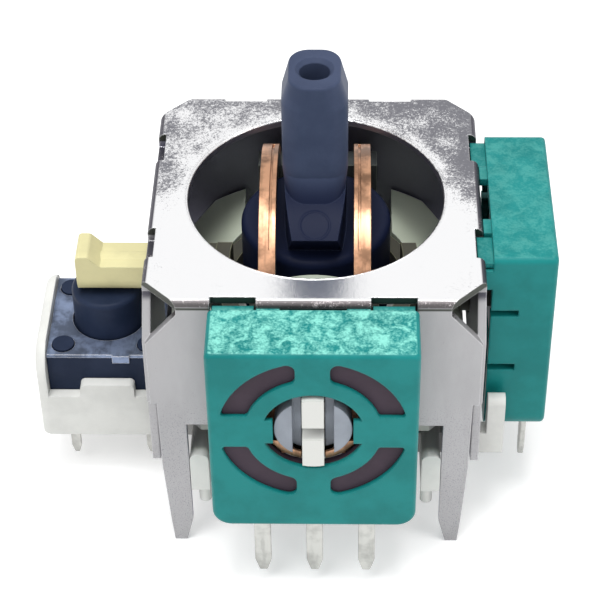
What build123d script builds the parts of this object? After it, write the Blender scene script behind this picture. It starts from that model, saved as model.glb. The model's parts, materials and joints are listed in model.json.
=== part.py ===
from build123d import *
import math
import os

# Two-axis analog stick module for a game controller, with a push switch at its left side.
# Origin: the middle of the can's top opening, dropped to the board that the module is soldered on.
# X points to the right sensor, -Y to the front sensor, Z up. Millimetres throughout.

# Levels above the board
can_top = 13.35
axis_z = 8.55
deck_z = 7.9

# Clearances
running = 0.05
seat_gap = 0.03
overcut = 1.0

# Sheet steel can
can_half = 7.9
sheet = 0.4
opening_r = 6.14
rim_round = 0.1
corner_cut = 1.65
bend_share = 0.9
neck_step = 0.35
wall_foot_z = 5.6
gusset_in = 0.15
gusset_drop = 2.55
skirt_z = 6.95
tab_in = 0.45
tab_z = 2.8
leg_in = 0.5
leg_w = 1.3
leg_tip_w = 0.84
leg_tip_z = -2.55
leg_taper_z = -1.1
leg_lean = 0.12
edge_slot_mid = 3.65
edge_slot_w = 2.1
edge_slot_deep = 0.8
edge_slot_back = 0.42

leg_outer = can_half - leg_in
leg_inner = leg_outer - leg_w
can_inner = can_half - sheet
bend_r = bend_share * sheet

# Stick
neck_w = 3.08
neck_d = 3.2
neck_corner = 0.95
stick_top_z = 20.62
tip_h = 1.3
tip_taper = 0.7
tip_round = 0.12
top_hole_r = 0.71
top_hole_deep = 1.2
top_dish = 0.2
root_w = 2.75
root_d = 4.3
root_h = 1.1
sail_r = 6.25
sail_gap = 0.35
sail_crown = 1.2
sail_angle = 37.0
hub_r = 3.62
hub_top = 3.5
hub_bottom = -1.5
hub_round = 0.4
foot_r = 2.2
foot_z = -2.9
pin_r = 0.6

# Upper arm: an arch over the stick, turning about Y
arch_in = 5.12
arch_out = 5.75
rail_out = 6.2
rail_w = 0.79
rail_seat = 0.01
slot_half = 1.83
lip_w = 0.2
groove_w = 0.12
groove_deep = 0.16
groove_angle = 41.0
rail_angle = 58.0
bar_angle = 85.0
cheek_gap = 1.05
cheek_t = 1.15
cheek_r = 4.25
cheek_half = 3.0
cheek_foot = 1.3
rear_cheek_top = 2.4
journal_r = 2.1
rear_journal_r = 1.4
rear_journal_end = 0.3
blade_t = 1.0
blade_split = 0.75
blade_out = 0.12
prong_deep = 2.2

cheek_out = can_inner - cheek_gap
cheek_in = cheek_out - cheek_t
rail_side = slot_half + rail_w

# Push switch
switch_half = 2.9
switch_top = 5.4
switch_foot = 1.85
switch_gap = 0.1
switch_side_gap = 0.25
switch_top_gap = 0.3
cover_t = 0.2
plunger_margin = 1.05
plunger_gap = 0.1
skirt_w = 0.3
plunger_round = 0.25
peg_inset = 0.77
corner_peg_r = 0.55
corner_peg_h = 0.1
well_floor_t = 0.8
dome_h = 0.45
dome_t = 0.08
dome_margin = 0.25
dome_seat = 0.01
tab_w = 0.85
tab_mid = 0.8
tab_t = 0.12
tab_drop = 0.45
switch_pin_x = 1.95
switch_pin_in = 0.3
switch_pin_w = 0.5
switch_pin_t = 0.24
pin_hole_gap = 0.1

switch_x = -(can_inner + switch_gap + switch_half)
plunger_hole_r = switch_half - plunger_margin
plunger_r = plunger_hole_r - plunger_gap
plunger_skirt_r = plunger_hole_r + skirt_w
peg_at = switch_half - peg_inset
contact_z = switch_foot + well_floor_t

# Lower arm: a ring under the hub's waist, turning about X
ring_gap = 0.63
ring_wall = 0.75
ring_top = -0.6
ring_low = -1.6
ring_ear_half = 1.05
pin_wall = 0.35
shaft_r = 0.95
shaft_gap = 0.3
shaft_end_gap = 0.4
lever_over = 1.3
lever_top = 0.9
ear_foot_w = 1.2
ear_top_w = 0.62
ear_top = 1.5
ear_round = 0.22
blade_end_gap = 0.3
arm_notch_gap = 0.4

ring_in = hub_r + ring_gap
ring_out = ring_in + ring_wall
right_journal_r = journal_r - 2 * running
lever_end = lever_over - switch_x

# Rotary sensors, the same unit on the front and the right
unit_half = 4.78
unit_top = 13.3
unit_foot = 2.25
unit_back = 0.4
unit_front = 3.4
unit_wall = 0.65
floor_wall = 1.1
face_t = 0.22
unit_corner = 0.9
unit_top_corner = 0.3
unit_round = 0.22
wafer_t = 0.4
window_in = 3.13
window_out = 4.33
window_gap_x = 0.78
window_gap_z = 0.95
window_round = 0.38
window_corner = 0.18
eye_r = 2.33
eye_tab_half = 0.72
eye_tab_x = 1.83
rotor_gap = 0.35
rotor_r = 3.5
rotor_t = 0.8
rotor_hub_r = 1.78
rotor_in = 0.2
rotor_channel = 0.95
rotor_channel_deep = 0.6
brush_r = 3.2
brush_t = 0.12
brush_collar_r = 2.2
collar_top = -1.0
finger_x = 2.5
finger_w = 0.5
finger_h = 0.7
link_h = 0.5
link_low = 1.55
link_x = 1.1
link_w = 0.38
terminal_pitch = 2.5
terminal_w = 0.8
terminal_t = 0.3
terminal_in = 2.0
terminal_tip_z = -1.65
tip_long = 0.45
tip_side = 0.22
lug_low = 2.9
lug_h = 1.1
lug_lap = 0.5
bridge_mid = 2.05
bridge_w = 1.05
bridge_drop = 0.25
hook_gap = 0.1
hook_drop = 0.45
slit_len = 1.3
slit_h = 0.4
slit_up = 1.4
slit_down = 2.05

# Base moulding
base_gap = 0.15
base_cut = 1.9
deck_t = 3.2
vault_r = 10.6
vault_top = 8.5
cheek_pocket_gap = 0.8
cheek_pocket_deep = 2.55
shaft_pocket_gap = 0.3
well_step = 0.95
well_wall = 1.0
floor_t = 0.6
boss_r = 1.2
boss_h = 0.5
rib_w = 0.92
rib_start = 3.5
rib_top = 3.5
rib_foot = 1.05
stand_r = 0.3
stand_in = 0.5
side_post_gap = 0.45
side_post_t = 0.85
side_post_in = 3.8
side_post_top = 5.35
side_post_foot = 1.8
side_post_w = 0.82
post_round = 0.36
pocket_wall = 0.55
pocket_top = 3.05
pocket_corner = 0.5
side_wall_top = 5.9
side_wall_round = 1.4
pocket_foot_cut = 0.4
tongue_top = 3.85
tongue_left = 1.3
tongue_right = 1.4
tongue_round = 0.25

base_half = can_inner - base_gap
well_out = base_half - well_step
well_r = well_out - well_wall

# Return spring and disc
disc_side_gap = 0.7
disc_t = 0.6
disc_gap = 0.78
disc_chamfer = 0.2
spigot_h = 0.6
spigot_gap = 0.5
spring_in = 0.8
wire_r = 0.22
spring_turns = 4.5

disc_r = well_r - disc_side_gap
spring_r = disc_r - spring_in
disc_top = axis_z + foot_z - disc_gap


def box(x0, x1, y0, y1, z0, z1):
    """A block between two corners."""
    size = (abs(x1 - x0), abs(y1 - y0), abs(z1 - z0))
    return Pos((x0 + x1) / 2, (y0 + y1) / 2, (z0 + z1) / 2) * Box(*size)


def rod_x(r, x0, x1, y=0.0, z=0.0):
    """A cylinder along X."""
    return Pos((x0 + x1) / 2, y, z) * Rot(0, 90, 0) * Cylinder(r, abs(x1 - x0))


def rod_y(r, y0, y1, x=0.0, z=0.0):
    """A cylinder along Y."""
    return Pos(x, (y0 + y1) / 2, z) * Rot(90, 0, 0) * Cylinder(r, abs(y1 - y0))


def rod_z(r, z0, z1, x=0.0, y=0.0):
    """A cylinder along Z."""
    return Pos(x, y, (z0 + z1) / 2) * Cylinder(r, abs(z1 - z0))


def lift(face, z0, z1):
    """A face in XY raised into a block from z0 to z1."""
    return Pos(0, 0, z0) * extrude(face, z1 - z0)


def corners(x, y):
    """The four places at plus and minus x and y."""
    return [(sx * x, sy * y) for sx in (-1, 1) for sy in (-1, 1)]


def octagon(half, cut):
    """A square plan with its four corners cut off."""
    inner = half - cut
    points = [(half, inner), (inner, half), (-inner, half), (-half, inner)]
    points += [(-x, -y) for x, y in points]
    return make_face(Polyline(*points, close=True))


def wall_outline(with_legs):
    """The right half of one can wall seen square on, from the bend down to its foot."""
    bend = can_half - corner_cut
    gusset = can_half - gusset_in
    tab = can_half - tab_in
    half = [
        (bend, can_top - bend_r),
        (bend, can_top - sheet - neck_step),
        (gusset, can_top - gusset_drop),
        (gusset, skirt_z),
        (tab, skirt_z),
    ]
    if not with_legs:
        return half + [(tab, tab_z), (leg_inner, tab_z), (leg_inner, wall_foot_z)]
    mid = (leg_inner + leg_outer) / 2
    tip = leg_tip_w / 2
    return half + [
        (leg_outer, tab_z),
        (mid + tip, leg_taper_z),
        (mid + tip - leg_lean, leg_tip_z),
        (mid - tip + leg_lean, leg_tip_z),
        (leg_inner, leg_taper_z),
        (leg_inner, wall_foot_z),
    ]


def can_wall(with_legs):
    """One wall of the can in the XZ plane, its outer face at y = -can_half."""
    right = wall_outline(with_legs)
    left = [(-x, z) for x, z in reversed(right)]
    face = make_face(Polyline(*right, *left, close=True))
    return Pos(0, -can_inner, 0) * extrude(Rot(90, 0, 0) * face, sheet)


def top_plate():
    """The can's top: an octagon with rounded bends and the round opening."""
    plate = lift(octagon(can_half, corner_cut), can_top - sheet, can_top)
    rim = plate.edges().group_by(Axis.Z)[-1]
    straight = rim.filter_by(Axis.X) + rim.filter_by(Axis.Y)
    plate = fillet(straight, bend_r)
    plate -= rod_z(opening_r, can_top - 2 * sheet, can_top + overcut)
    edge = plate.edges().filter_by(GeomType.CIRCLE).group_by(Axis.Z)[-1]
    return fillet(edge, rim_round)


def can_frame():
    """The folded steel can: top plate, four walls, bend slots, bearing holes and four solder legs."""
    can = top_plate()
    for turn in (0, 180):
        can += Rot(0, 0, turn) * can_wall(True)
    for turn in (90, -90):
        can += Rot(0, 0, turn) * can_wall(False)
    low = can_top - edge_slot_deep
    for turn in (0, 90, 180, 270):
        for side in (-1, 1):
            x0 = side * edge_slot_mid - edge_slot_w / 2
            back = -can_half + edge_slot_back
            slot = box(x0, x0 + edge_slot_w, -can_half - overcut, back, low, can_top + overcut)
            can -= Rot(0, 0, turn) * slot
    out = can_half + overcut
    can -= rod_y(journal_r + running, -out, -can_inner + overcut, z=axis_z)
    can -= rod_y(rear_journal_r + running, can_inner - overcut, out, z=axis_z)
    can -= rod_x(journal_r + running, can_inner - overcut, out, z=axis_z)
    notch = shaft_r + arm_notch_gap
    can -= rod_x(notch, -out, -can_inner + overcut, z=axis_z)
    can -= box(-out, -can_inner + overcut, -notch, notch, 0, axis_z)
    wide = switch_half + switch_side_gap
    return can - box(-out, -can_inner + overcut, -wide, wide, 0, switch_top + switch_top_gap)


def rounded_plan(w, d, corner):
    """A rectangle with rounded corners."""
    return RectangleRounded(w, d, min(corner, 0.45 * min(w, d)))


def stick_post():
    """The square post with its tapered tip, dished hole and flared root."""
    plan = rounded_plan(neck_w, neck_d, neck_corner)
    shoulder = stick_top_z - tip_h
    tip_plan = rounded_plan(neck_w - tip_taper, neck_d, neck_corner)
    tip = loft([Pos(0, 0, shoulder) * plan, Pos(0, 0, stick_top_z) * tip_plan])
    tip = fillet(tip.edges().group_by(Axis.Z)[-1], tip_round)
    root_z = axis_z + math.sqrt(sail_r**2 - (root_d / 2) ** 2)
    root = rounded_plan(root_w, root_d, neck_corner)
    post = tip + lift(plan, root_z + root_h, shoulder)
    post += loft([Pos(0, 0, root_z) * root, Pos(0, 0, root_z + root_h) * plan])
    post += lift(root, axis_z + hub_top, root_z)
    post -= rod_z(top_hole_r, stick_top_z - top_hole_deep, stick_top_z + overcut)
    dish = Cone(top_hole_r, top_hole_r + 2 * top_dish, 2 * top_dish)
    return post - Pos(0, 0, stick_top_z) * dish


def sail():
    """The crowned half disc that runs in the upper arm's slot."""
    w = slot_half - sail_gap
    end = w - sail_crown
    right = ThreePointArc((end, -sail_r), (w, 0), (end, sail_r))
    left = ThreePointArc((-end, sail_r), (-w, 0), (-end, -sail_r))
    joins = [Line((end, sail_r), (-end, sail_r)), Line((-end, -sail_r), (end, -sail_r))]
    plan = make_face([right, joins[0], left, joins[1]])
    disc = arch_band(hub_r / 2, sail_r, -w, w, sail_angle)
    return disc & lift(plan, axis_z, axis_z + sail_r)


def stick():
    """The moulded stick: post, sail, round hub and conical foot, drilled for its pin."""
    hub = rod_z(hub_r, axis_z + hub_bottom, axis_z + hub_top)
    hub = fillet(hub.edges().group_by(Axis.Z)[-1], hub_round)
    cone_h = hub_bottom - foot_z
    foot = Pos(0, 0, axis_z + foot_z + cone_h / 2) * Cone(foot_r, hub_r, cone_h)
    whole = stick_post() + sail() + hub + foot
    return whole - rod_y(pin_r + running / 2, -hub_r - overcut, hub_r + overcut, z=axis_z)


def pivot_pin():
    """The steel pin that hangs the stick in the lower arm."""
    reach = ring_out - 2 * running
    pin = rod_y(pin_r, -reach, reach, z=axis_z)
    return chamfer(pin.edges().filter_by(GeomType.CIRCLE), 2 * running)


def arch_band(inner, outer, x0, x1, half_angle):
    """A strip of a ring about the X axis, open below, from x0 to x1."""
    band = rod_x(outer, x0, x1, z=axis_z) - rod_x(inner, x0 - overcut, x1 + overcut, z=axis_z)
    reach = 2 * outer
    lean = math.radians(half_angle)
    y, z = reach * math.sin(lean), reach * math.cos(lean)
    wedge = make_face(Polyline((0, 0), (y, z), (0, 2 * reach), (-y, z), close=True))
    keep = extrude(Plane.YZ * wedge, reach, both=True)
    return band & Pos(0, 0, axis_z) * keep


def upper_arm():
    """The moulded upper arm: two bars over the stick, round cheeks, a rear journal and a forked blade."""
    arm = rod_y(rear_journal_r, cheek_in, can_half + rear_journal_end, z=axis_z)
    arm += rod_y(journal_r, -cheek_in, -can_half - unit_back, z=axis_z)
    for side, top in ((-1, cheek_r), (1, rear_cheek_top)):
        x0, x1 = sorted((side * slot_half, side * rail_side))
        arm += arch_band(arch_in, arch_out, x0, x1, bar_angle)
        y0, y1 = side * cheek_in, side * cheek_out
        cheek = rod_y(cheek_r, y0, y1, z=axis_z)
        arm += cheek & box(-cheek_half, cheek_half, y0, y1, axis_z - cheek_foot, axis_z + top)
    tip = -can_half - unit_front - blade_out
    blade = rod_y(journal_r, -can_half, tip, z=axis_z)
    arm += blade & box(-blade_t / 2, blade_t / 2, tip, -can_half, 0, can_top)
    half = blade_split / 2
    return arm - box(-blade_t, blade_t, tip - overcut, tip + prong_deep, axis_z - half, axis_z + half)


def arm_rail(side):
    """One metal wear rail: an arched strip with a groove that runs out before its ends."""
    x0, x1 = sorted((side * slot_half, side * rail_side))
    rail = arch_band(arch_out + rail_seat, rail_out, x0, x1, rail_angle)
    g0, g1 = sorted((side * (slot_half + lip_w), side * (slot_half + lip_w + groove_w)))
    return rail - arch_band(rail_out - groove_deep, rail_out + overcut, g0, g1, groove_angle)


def lever():
    """The end of the lower arm over the push switch, with its upstanding ear."""
    top = axis_z + lever_top
    bar = box(-lever_end, -ring_in - shaft_gap, -shaft_r, shaft_r, axis_z, top)
    outline = [
        (-lever_end, axis_z),
        (-lever_end, axis_z + ear_top),
        (ear_top_w - lever_end, axis_z + ear_top),
        (ear_foot_w - lever_end, top),
        (ear_foot_w - lever_end, axis_z),
    ]
    ear = extrude(Plane.XZ * make_face(Polyline(*outline, close=True)), shaft_r, both=True)
    ear = fillet(ear.edges().filter_by(Axis.Y).group_by(Axis.Z)[-1], ear_round)
    return bar + ear


def lower_arm():
    """The moulded lower arm: ring round the hub, pin ears, right blade and the switch lever."""
    depth = axis_z + ring_low
    ring = rod_z(ring_out, depth, axis_z + ring_top)
    ears = rod_z(ring_out, depth, axis_z + pin_r + pin_wall)
    ring += ears & box(-ring_ear_half, ring_ear_half, -ring_out, ring_out, depth, can_top)
    ring += ears & box(-ring_out, ring_out, -shaft_r, shaft_r, depth, can_top)
    ring -= rod_z(ring_in, depth - overcut, can_top)
    arm = ring + rod_x(shaft_r, -lever_end, -ring_in - shaft_gap, z=axis_z) + lever()
    inner_end = can_inner - shaft_end_gap
    arm += rod_x(shaft_r, ring_in + shaft_gap, inner_end, z=axis_z)
    arm += rod_x(right_journal_r, inner_end - running, can_half + unit_back, z=axis_z)
    reach = can_half + unit_front - blade_end_gap
    blade = rod_x(right_journal_r, can_half, reach, z=axis_z)
    arm += blade & box(can_half, reach, -blade_t / 2, blade_t / 2, 0, can_top)
    return arm - rod_y(pin_r, -ring_out - overcut, ring_out + overcut, z=axis_z)


def quarter_window():
    """One arc slot of the sensor's face, upper right, seen from outside."""
    ring = Circle(window_out) - Circle(window_in)
    corner = Rectangle(2 * window_out, 2 * window_out)
    window = ring & Pos(window_gap_x + window_out, window_gap_z + window_out) * corner
    window = fillet(window.vertices().group_by(Axis.X)[0], window_round)
    return fillet(window.vertices().group_by(Axis.Y)[0], window_corner)


def face_openings():
    """The four arc slots and the eye with its two side tabs."""
    window = quarter_window()
    shapes = window + mirror(window, about=Plane.YZ)
    shapes += mirror(shapes, about=Plane.XZ)
    eye = Circle(eye_r)
    for side in (-1, 1):
        eye -= Pos(side * (eye_tab_x + eye_r), 0) * Rectangle(2 * eye_r, 2 * eye_tab_half)
    return shapes + eye


def unit_at(part, place):
    """Put a sensor piece, drawn facing -Y with its can side at y = 0, on the front or the right."""
    if place == "front":
        return Pos(0, -can_half, 0) * part
    return Rot(0, 0, 90) * Pos(0, -can_half, 0) * part


def unit_shell():
    """The housing's hollow box with its rounded face."""
    outline = Pos(0, (unit_top + unit_foot) / 2) * Rectangle(2 * unit_half, unit_top - unit_foot)
    outline = fillet(outline.vertices().group_by(Axis.Y)[0], unit_corner)
    outline = fillet(outline.vertices().group_by(Axis.Y)[-1], unit_top_corner)
    shell = Pos(0, -unit_back, 0) * extrude(Rot(90, 0, 0) * outline, unit_front - unit_back)
    shell = fillet(shell.faces().sort_by(Axis.Y)[0].outer_wire().edges(), unit_round)
    inside = unit_half - unit_wall
    face = -unit_front + face_t
    return shell - box(-inside, inside, face, 0, unit_foot + floor_wall, unit_top - unit_wall)


def unit_housing():
    """The moulded sensor housing: open at the can side, windows in its face, hooks into the bend slots."""
    shell = unit_shell()
    openings = extrude(Rot(90, 0, 0) * face_openings(), unit_front)
    shell -= Pos(0, -unit_front + 2 * face_t, axis_z) * openings
    inside = unit_half - unit_wall
    lap = -unit_back - lug_lap
    slot_low = can_top - edge_slot_deep
    for side in (-1, 1):
        low = axis_z + lug_low
        shell += box(side * unit_half, side * inside, lap, -seat_gap, low, low + lug_h)
        x0 = side * bridge_mid - bridge_w / 2
        top = unit_top - bridge_drop
        shell += box(x0, x0 + bridge_w, lap, -seat_gap, unit_top - unit_wall, top)
        x0 = side * edge_slot_mid - edge_slot_w / 2 + hook_gap
        x1 = x0 + edge_slot_w - 2 * hook_gap
        shell += box(x0, x1, lap, edge_slot_back - hook_gap, slot_low + hook_gap, can_top - hook_drop)
        for height in (axis_z + slit_up, axis_z - slit_down):
            x0, x1 = side * (unit_half + overcut), side * (inside - running)
            z0, z1 = height - slit_h / 2, height + slit_h / 2
            shell -= box(x0, x1, -unit_back - slit_len, overcut, z0, z1)
    half = terminal_w / 2 + seat_gap
    y0 = -unit_front + face_t + wafer_t
    y1 = y0 + terminal_t + 2 * seat_gap
    for step in (-1, 0, 1):
        x = step * terminal_pitch
        shell -= box(x - half, x + half, y0, y1, unit_foot - overcut, unit_foot + terminal_in + seat_gap)
    return shell


def unit_wafer():
    """The resistive wafer behind the housing's face."""
    half = unit_half - unit_wall - seat_gap
    y0 = -unit_front + face_t + seat_gap
    low = unit_foot + floor_wall + seat_gap
    wafer = box(-half, half, y0, y0 + wafer_t - seat_gap, low, unit_top - unit_wall - seat_gap)
    return wafer - rod_y(eye_r + running, y0 - overcut, y0 + overcut, z=axis_z)


def unit_rotor():
    """The rotor: a flange with a hub in the eye, slotted for the arm's blade."""
    back = -unit_back - rotor_gap
    front = back - rotor_t
    hub_front = -unit_front + rotor_in
    rotor = rod_y(rotor_r, front, back, z=axis_z) + rod_y(rotor_hub_r, hub_front, front, z=axis_z)
    half = blade_t / 2 + running
    tall = journal_r + running
    rotor -= box(-half, half, -unit_front - overcut, 0, axis_z - tall, axis_z + tall)
    y0, y1 = hub_front - overcut, hub_front + rotor_channel_deep
    return rotor - box(-rotor_channel, rotor_channel, y0, y1, axis_z - rotor_r, axis_z + rotor_r)


def unit_brush():
    """The spring brush on the rotor: a ring plate with two contact fingers and a collar round the hub."""
    y1 = -unit_back - rotor_gap - rotor_t - seat_gap
    bore = rotor_hub_r + seat_gap
    plate = rod_y(brush_r, y1 - brush_t, y1, z=axis_z)
    contact = -unit_front + face_t + wafer_t + seat_gap
    collar = contact - wafer_t / 2
    arc = rod_y(brush_collar_r, collar, collar + brush_t, z=axis_z)
    plate += arc & box(-brush_r, brush_r, -unit_front, 0, 0, axis_z + collar_top)
    for side in (-1, 1):
        x0, x1 = sorted((side * finger_x, side * (finger_x + finger_w)))
        plate += box(x0, x1, contact, y1, axis_z - finger_h / 2, axis_z + finger_h / 2)
        x0, x1 = sorted((side * link_x, side * (link_x + link_w)))
        low = axis_z - link_low - link_h / 2
        plate += box(x0, x1, collar, y1, low, low + link_h)
    plate -= rod_y(bore, -unit_front, 0, z=axis_z)
    half = blade_t / 2 + running
    tall = brush_collar_r + running
    return plate - box(-half, half, -unit_front, 0, axis_z - tall, axis_z + tall)


def unit_terminals():
    """Three solder terminals held against the wafer's lower edge."""
    pins = []
    y0 = -unit_front + face_t + wafer_t + seat_gap
    half = terminal_w / 2
    for step in (-1, 0, 1):
        x = step * terminal_pitch
        pin = box(x - half, x + half, y0, y0 + terminal_t, terminal_tip_z, unit_foot + terminal_in)
        ends = pin.edges().filter_by(Axis.Y).group_by(Axis.Z)[0]
        pins.append(chamfer(ends, tip_long, tip_side))
    return Compound(children=pins)


def base_deck():
    """The vaulted deck and the round spring well, with room for the two arms."""
    deck = lift(octagon(base_half, base_cut), deck_z - deck_t, deck_z)
    deck &= rod_y(vault_r, -can_half, can_half, z=vault_top - vault_r)
    deck += rod_z(well_out, 0, deck_z - deck_t)
    deck -= rod_z(well_r, floor_t, can_top)
    wide = cheek_half + cheek_pocket_gap
    deck -= box(-wide, wide, -can_half, can_half, axis_z - cheek_pocket_deep, can_top)
    wide = right_journal_r + shaft_pocket_gap
    deck -= box(0, can_half, -wide, wide, axis_z - wide, can_top)
    return deck + rod_z(boss_r, 0, floor_t + boss_h)


def base_ribs():
    """Ribs to the front and back with stand-off feet, and the posts beside the right sensor."""
    rib_out = leg_inner - seat_gap
    rib_in = rib_out - rib_w
    stand = can_half - stand_in
    ribs = None
    for sx, sy in corners(1, 1):
        x0, x1 = sorted((sx * rib_in, sx * rib_out))
        y0, y1 = sorted((sy * can_half, sy * rib_start))
        rib = box(x0, x1, y0, y1, rib_foot, rib_top)
        rib = fillet(rib.edges().filter_by(Axis.Y).group_by(Axis.Z)[-1], post_round)
        rib += rod_z(stand_r, 0, rib_foot, x=sx * (rib_in + stand_r), y=sy * stand)
        ribs = rib if ribs is None else ribs + rib
    inner = can_half + side_post_gap
    outer = inner + side_post_t
    for sy in (-1, 1):
        y0, y1 = sorted((sy * rib_in, sy * (rib_in + side_post_w)))
        ribs += box(side_post_in, outer, y0, y1, side_post_foot, rib_top - post_round)
        post = box(inner, outer, y0, y1, side_post_foot, side_post_top)
        ribs += fillet(post.edges().filter_by(Axis.X).group_by(Axis.Z)[-1], post_round)
    return ribs


def switch_carrier():
    """The open box at the left that holds the push switch."""
    inner = switch_half + seat_gap
    outer = inner + pocket_wall
    left = switch_x - outer
    carrier = box(left, -well_out + overcut, -outer, outer, 0, pocket_top)
    side = box(left, left + pocket_wall, -outer, outer, 0, side_wall_top)
    carrier += fillet(side.edges().filter_by(Axis.X).group_by(Axis.Z)[-1], side_wall_round)
    carrier = fillet(carrier.edges().filter_by(Axis.Z).group_by(Axis.X)[0], pocket_corner)
    foot = carrier.edges().filter_by(Axis.Y).group_by(Axis.X)[0].group_by(Axis.Z)[0]
    carrier = chamfer(foot, pocket_foot_cut)
    x0, x1 = switch_x - tongue_left, switch_x + tongue_right
    for side in (-1, 1):
        y0, y1 = sorted((side * outer, side * inner))
        tongue = box(x0, x1, y0, y1, 2 * pocket_wall, tongue_top)
        carrier += fillet(tongue.edges().filter_by(Axis.Y).group_by(Axis.Z)[-1], tongue_round)
    carrier -= box(switch_x - inner, switch_x + inner, -inner, inner, switch_foot - seat_gap, can_top)
    return carrier - rod_z(well_r, -overcut, can_top)


def base():
    """The base moulding: deck, well, ribs, posts and the switch carrier with its pin holes."""
    part = base_deck() + base_ribs() + switch_carrier()
    half_x = switch_pin_w / 2 + pin_hole_gap
    half_y = switch_pin_t / 2 + pin_hole_gap
    for dx, y in corners(switch_pin_x, switch_half - switch_pin_in):
        x = switch_x + dx
        part -= box(x - half_x, x + half_x, y - half_y, y + half_y, -overcut, switch_foot + overcut)
    return part


def return_disc():
    """The disc that the spring lifts under the stick's foot."""
    low = disc_top - disc_t
    disc = rod_z(disc_r, low, disc_top)
    disc = chamfer(disc.edges().group_by(Axis.Z)[-1], disc_chamfer)
    return disc + rod_z(spring_r - wire_r - spigot_gap, low - spigot_h, low)


def return_spring():
    """The coil spring between the well's floor and the return disc."""
    low = floor_t + wire_r + seat_gap
    high = disc_top - disc_t - wire_r - seat_gap
    path = Helix(pitch=(high - low) / spring_turns, height=high - low, radius=spring_r)
    start = Plane(origin=path @ 0, z_dir=path % 0)
    coil = sweep(start * Circle(wire_r), path=path, is_frenet=True)
    return Pos(0, 0, low) * coil


def switch_case():
    """The moulded switch case, with its contact well and four rivet pegs."""
    x0, x1 = switch_x - switch_half, switch_x + switch_half
    top = switch_top - cover_t
    case = box(x0, x1, -switch_half, switch_half, switch_foot, top)
    case -= rod_z(plunger_skirt_r + plunger_gap, contact_z, can_top, x=switch_x)
    for dx, y in corners(peg_at, peg_at):
        case += rod_z(corner_peg_r, top - cover_t, switch_top + corner_peg_h, x=switch_x + dx, y=y)
    return case


def switch_cover():
    """The thin metal cover plate with its front tab, pierced for the plunger and the four pegs."""
    x0, x1 = switch_x - switch_half, switch_x + switch_half
    low = switch_top - cover_t
    cover = box(x0, x1, -switch_half, switch_half, low, switch_top)
    t0 = switch_x + tab_mid - tab_w / 2
    cover += box(t0, t0 + tab_w, -switch_half - tab_t, -switch_half, switch_top - tab_drop, switch_top)
    cover -= rod_z(plunger_hole_r, low - overcut, can_top, x=switch_x)
    for dx, y in corners(peg_at, peg_at):
        cover -= rod_z(corner_peg_r + seat_gap, low - overcut, can_top, x=switch_x + dx, y=y)
    return cover


def switch_plunger():
    """The switch's plunger, with a skirt that stays under the cover."""
    low = contact_z + dome_h + seat_gap
    stem = rod_z(plunger_r, low, axis_z - shaft_r - seat_gap, x=switch_x)
    stem = fillet(stem.edges().group_by(Axis.Z)[-1], plunger_round)
    return stem + rod_z(plunger_skirt_r, low, switch_top - cover_t - seat_gap, x=switch_x)


def switch_dome():
    """The snap dome under the plunger."""
    dome_r = plunger_skirt_r - dome_margin
    sphere_r = (dome_r**2 + dome_h**2) / (2 * dome_h)
    middle = Pos(switch_x, 0, contact_z + dome_h - sphere_r)
    shell = middle * Sphere(sphere_r) - middle * Sphere(sphere_r - dome_t)
    return shell & rod_z(dome_r, contact_z + dome_seat, contact_z + dome_h, x=switch_x)


def switch_terminals():
    """Four solder pins of the switch."""
    pins = []
    half_x = switch_pin_w / 2
    half_y = switch_pin_t / 2
    for dx, y in corners(switch_pin_x, switch_half - switch_pin_in):
        x = switch_x + dx
        top = switch_foot - seat_gap
        pins.append(box(x - half_x, x + half_x, y - half_y, y + half_y, terminal_tip_z, top))
    return Compound(children=pins)


def save(name, part):
    """Write one piece to its own file."""
    export_step(part, "parts/" + name + ".step")


def main():
    os.makedirs("parts", exist_ok=True)
    save("can_frame", can_frame())
    save("base", base())
    save("stick", stick())
    save("pivot_pin", pivot_pin())
    save("upper_arm", upper_arm())
    save("rail_left", arm_rail(-1))
    save("rail_right", arm_rail(1))
    save("lower_arm", lower_arm())
    save("return_disc", return_disc())
    save("return_spring", return_spring())
    for place in ("front", "right"):
        save(place + "_housing", unit_at(unit_housing(), place))
        save(place + "_wafer", unit_at(unit_wafer(), place))
        save(place + "_rotor", unit_at(unit_rotor(), place))
        save(place + "_brush", unit_at(unit_brush(), place))
        save(place + "_terminals", unit_at(unit_terminals(), place))
    save("switch_case", switch_case())
    save("switch_cover", switch_cover())
    save("switch_plunger", switch_plunger())
    save("switch_dome", switch_dome())
    save("switch_terminals", switch_terminals())


main()
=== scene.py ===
import json
import math

import bmesh
import bpy
from bpy.props import FloatProperty, FloatVectorProperty, PointerProperty
from bpy.types import Operator, Panel, PropertyGroup
from mathutils import Matrix, Vector


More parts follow.
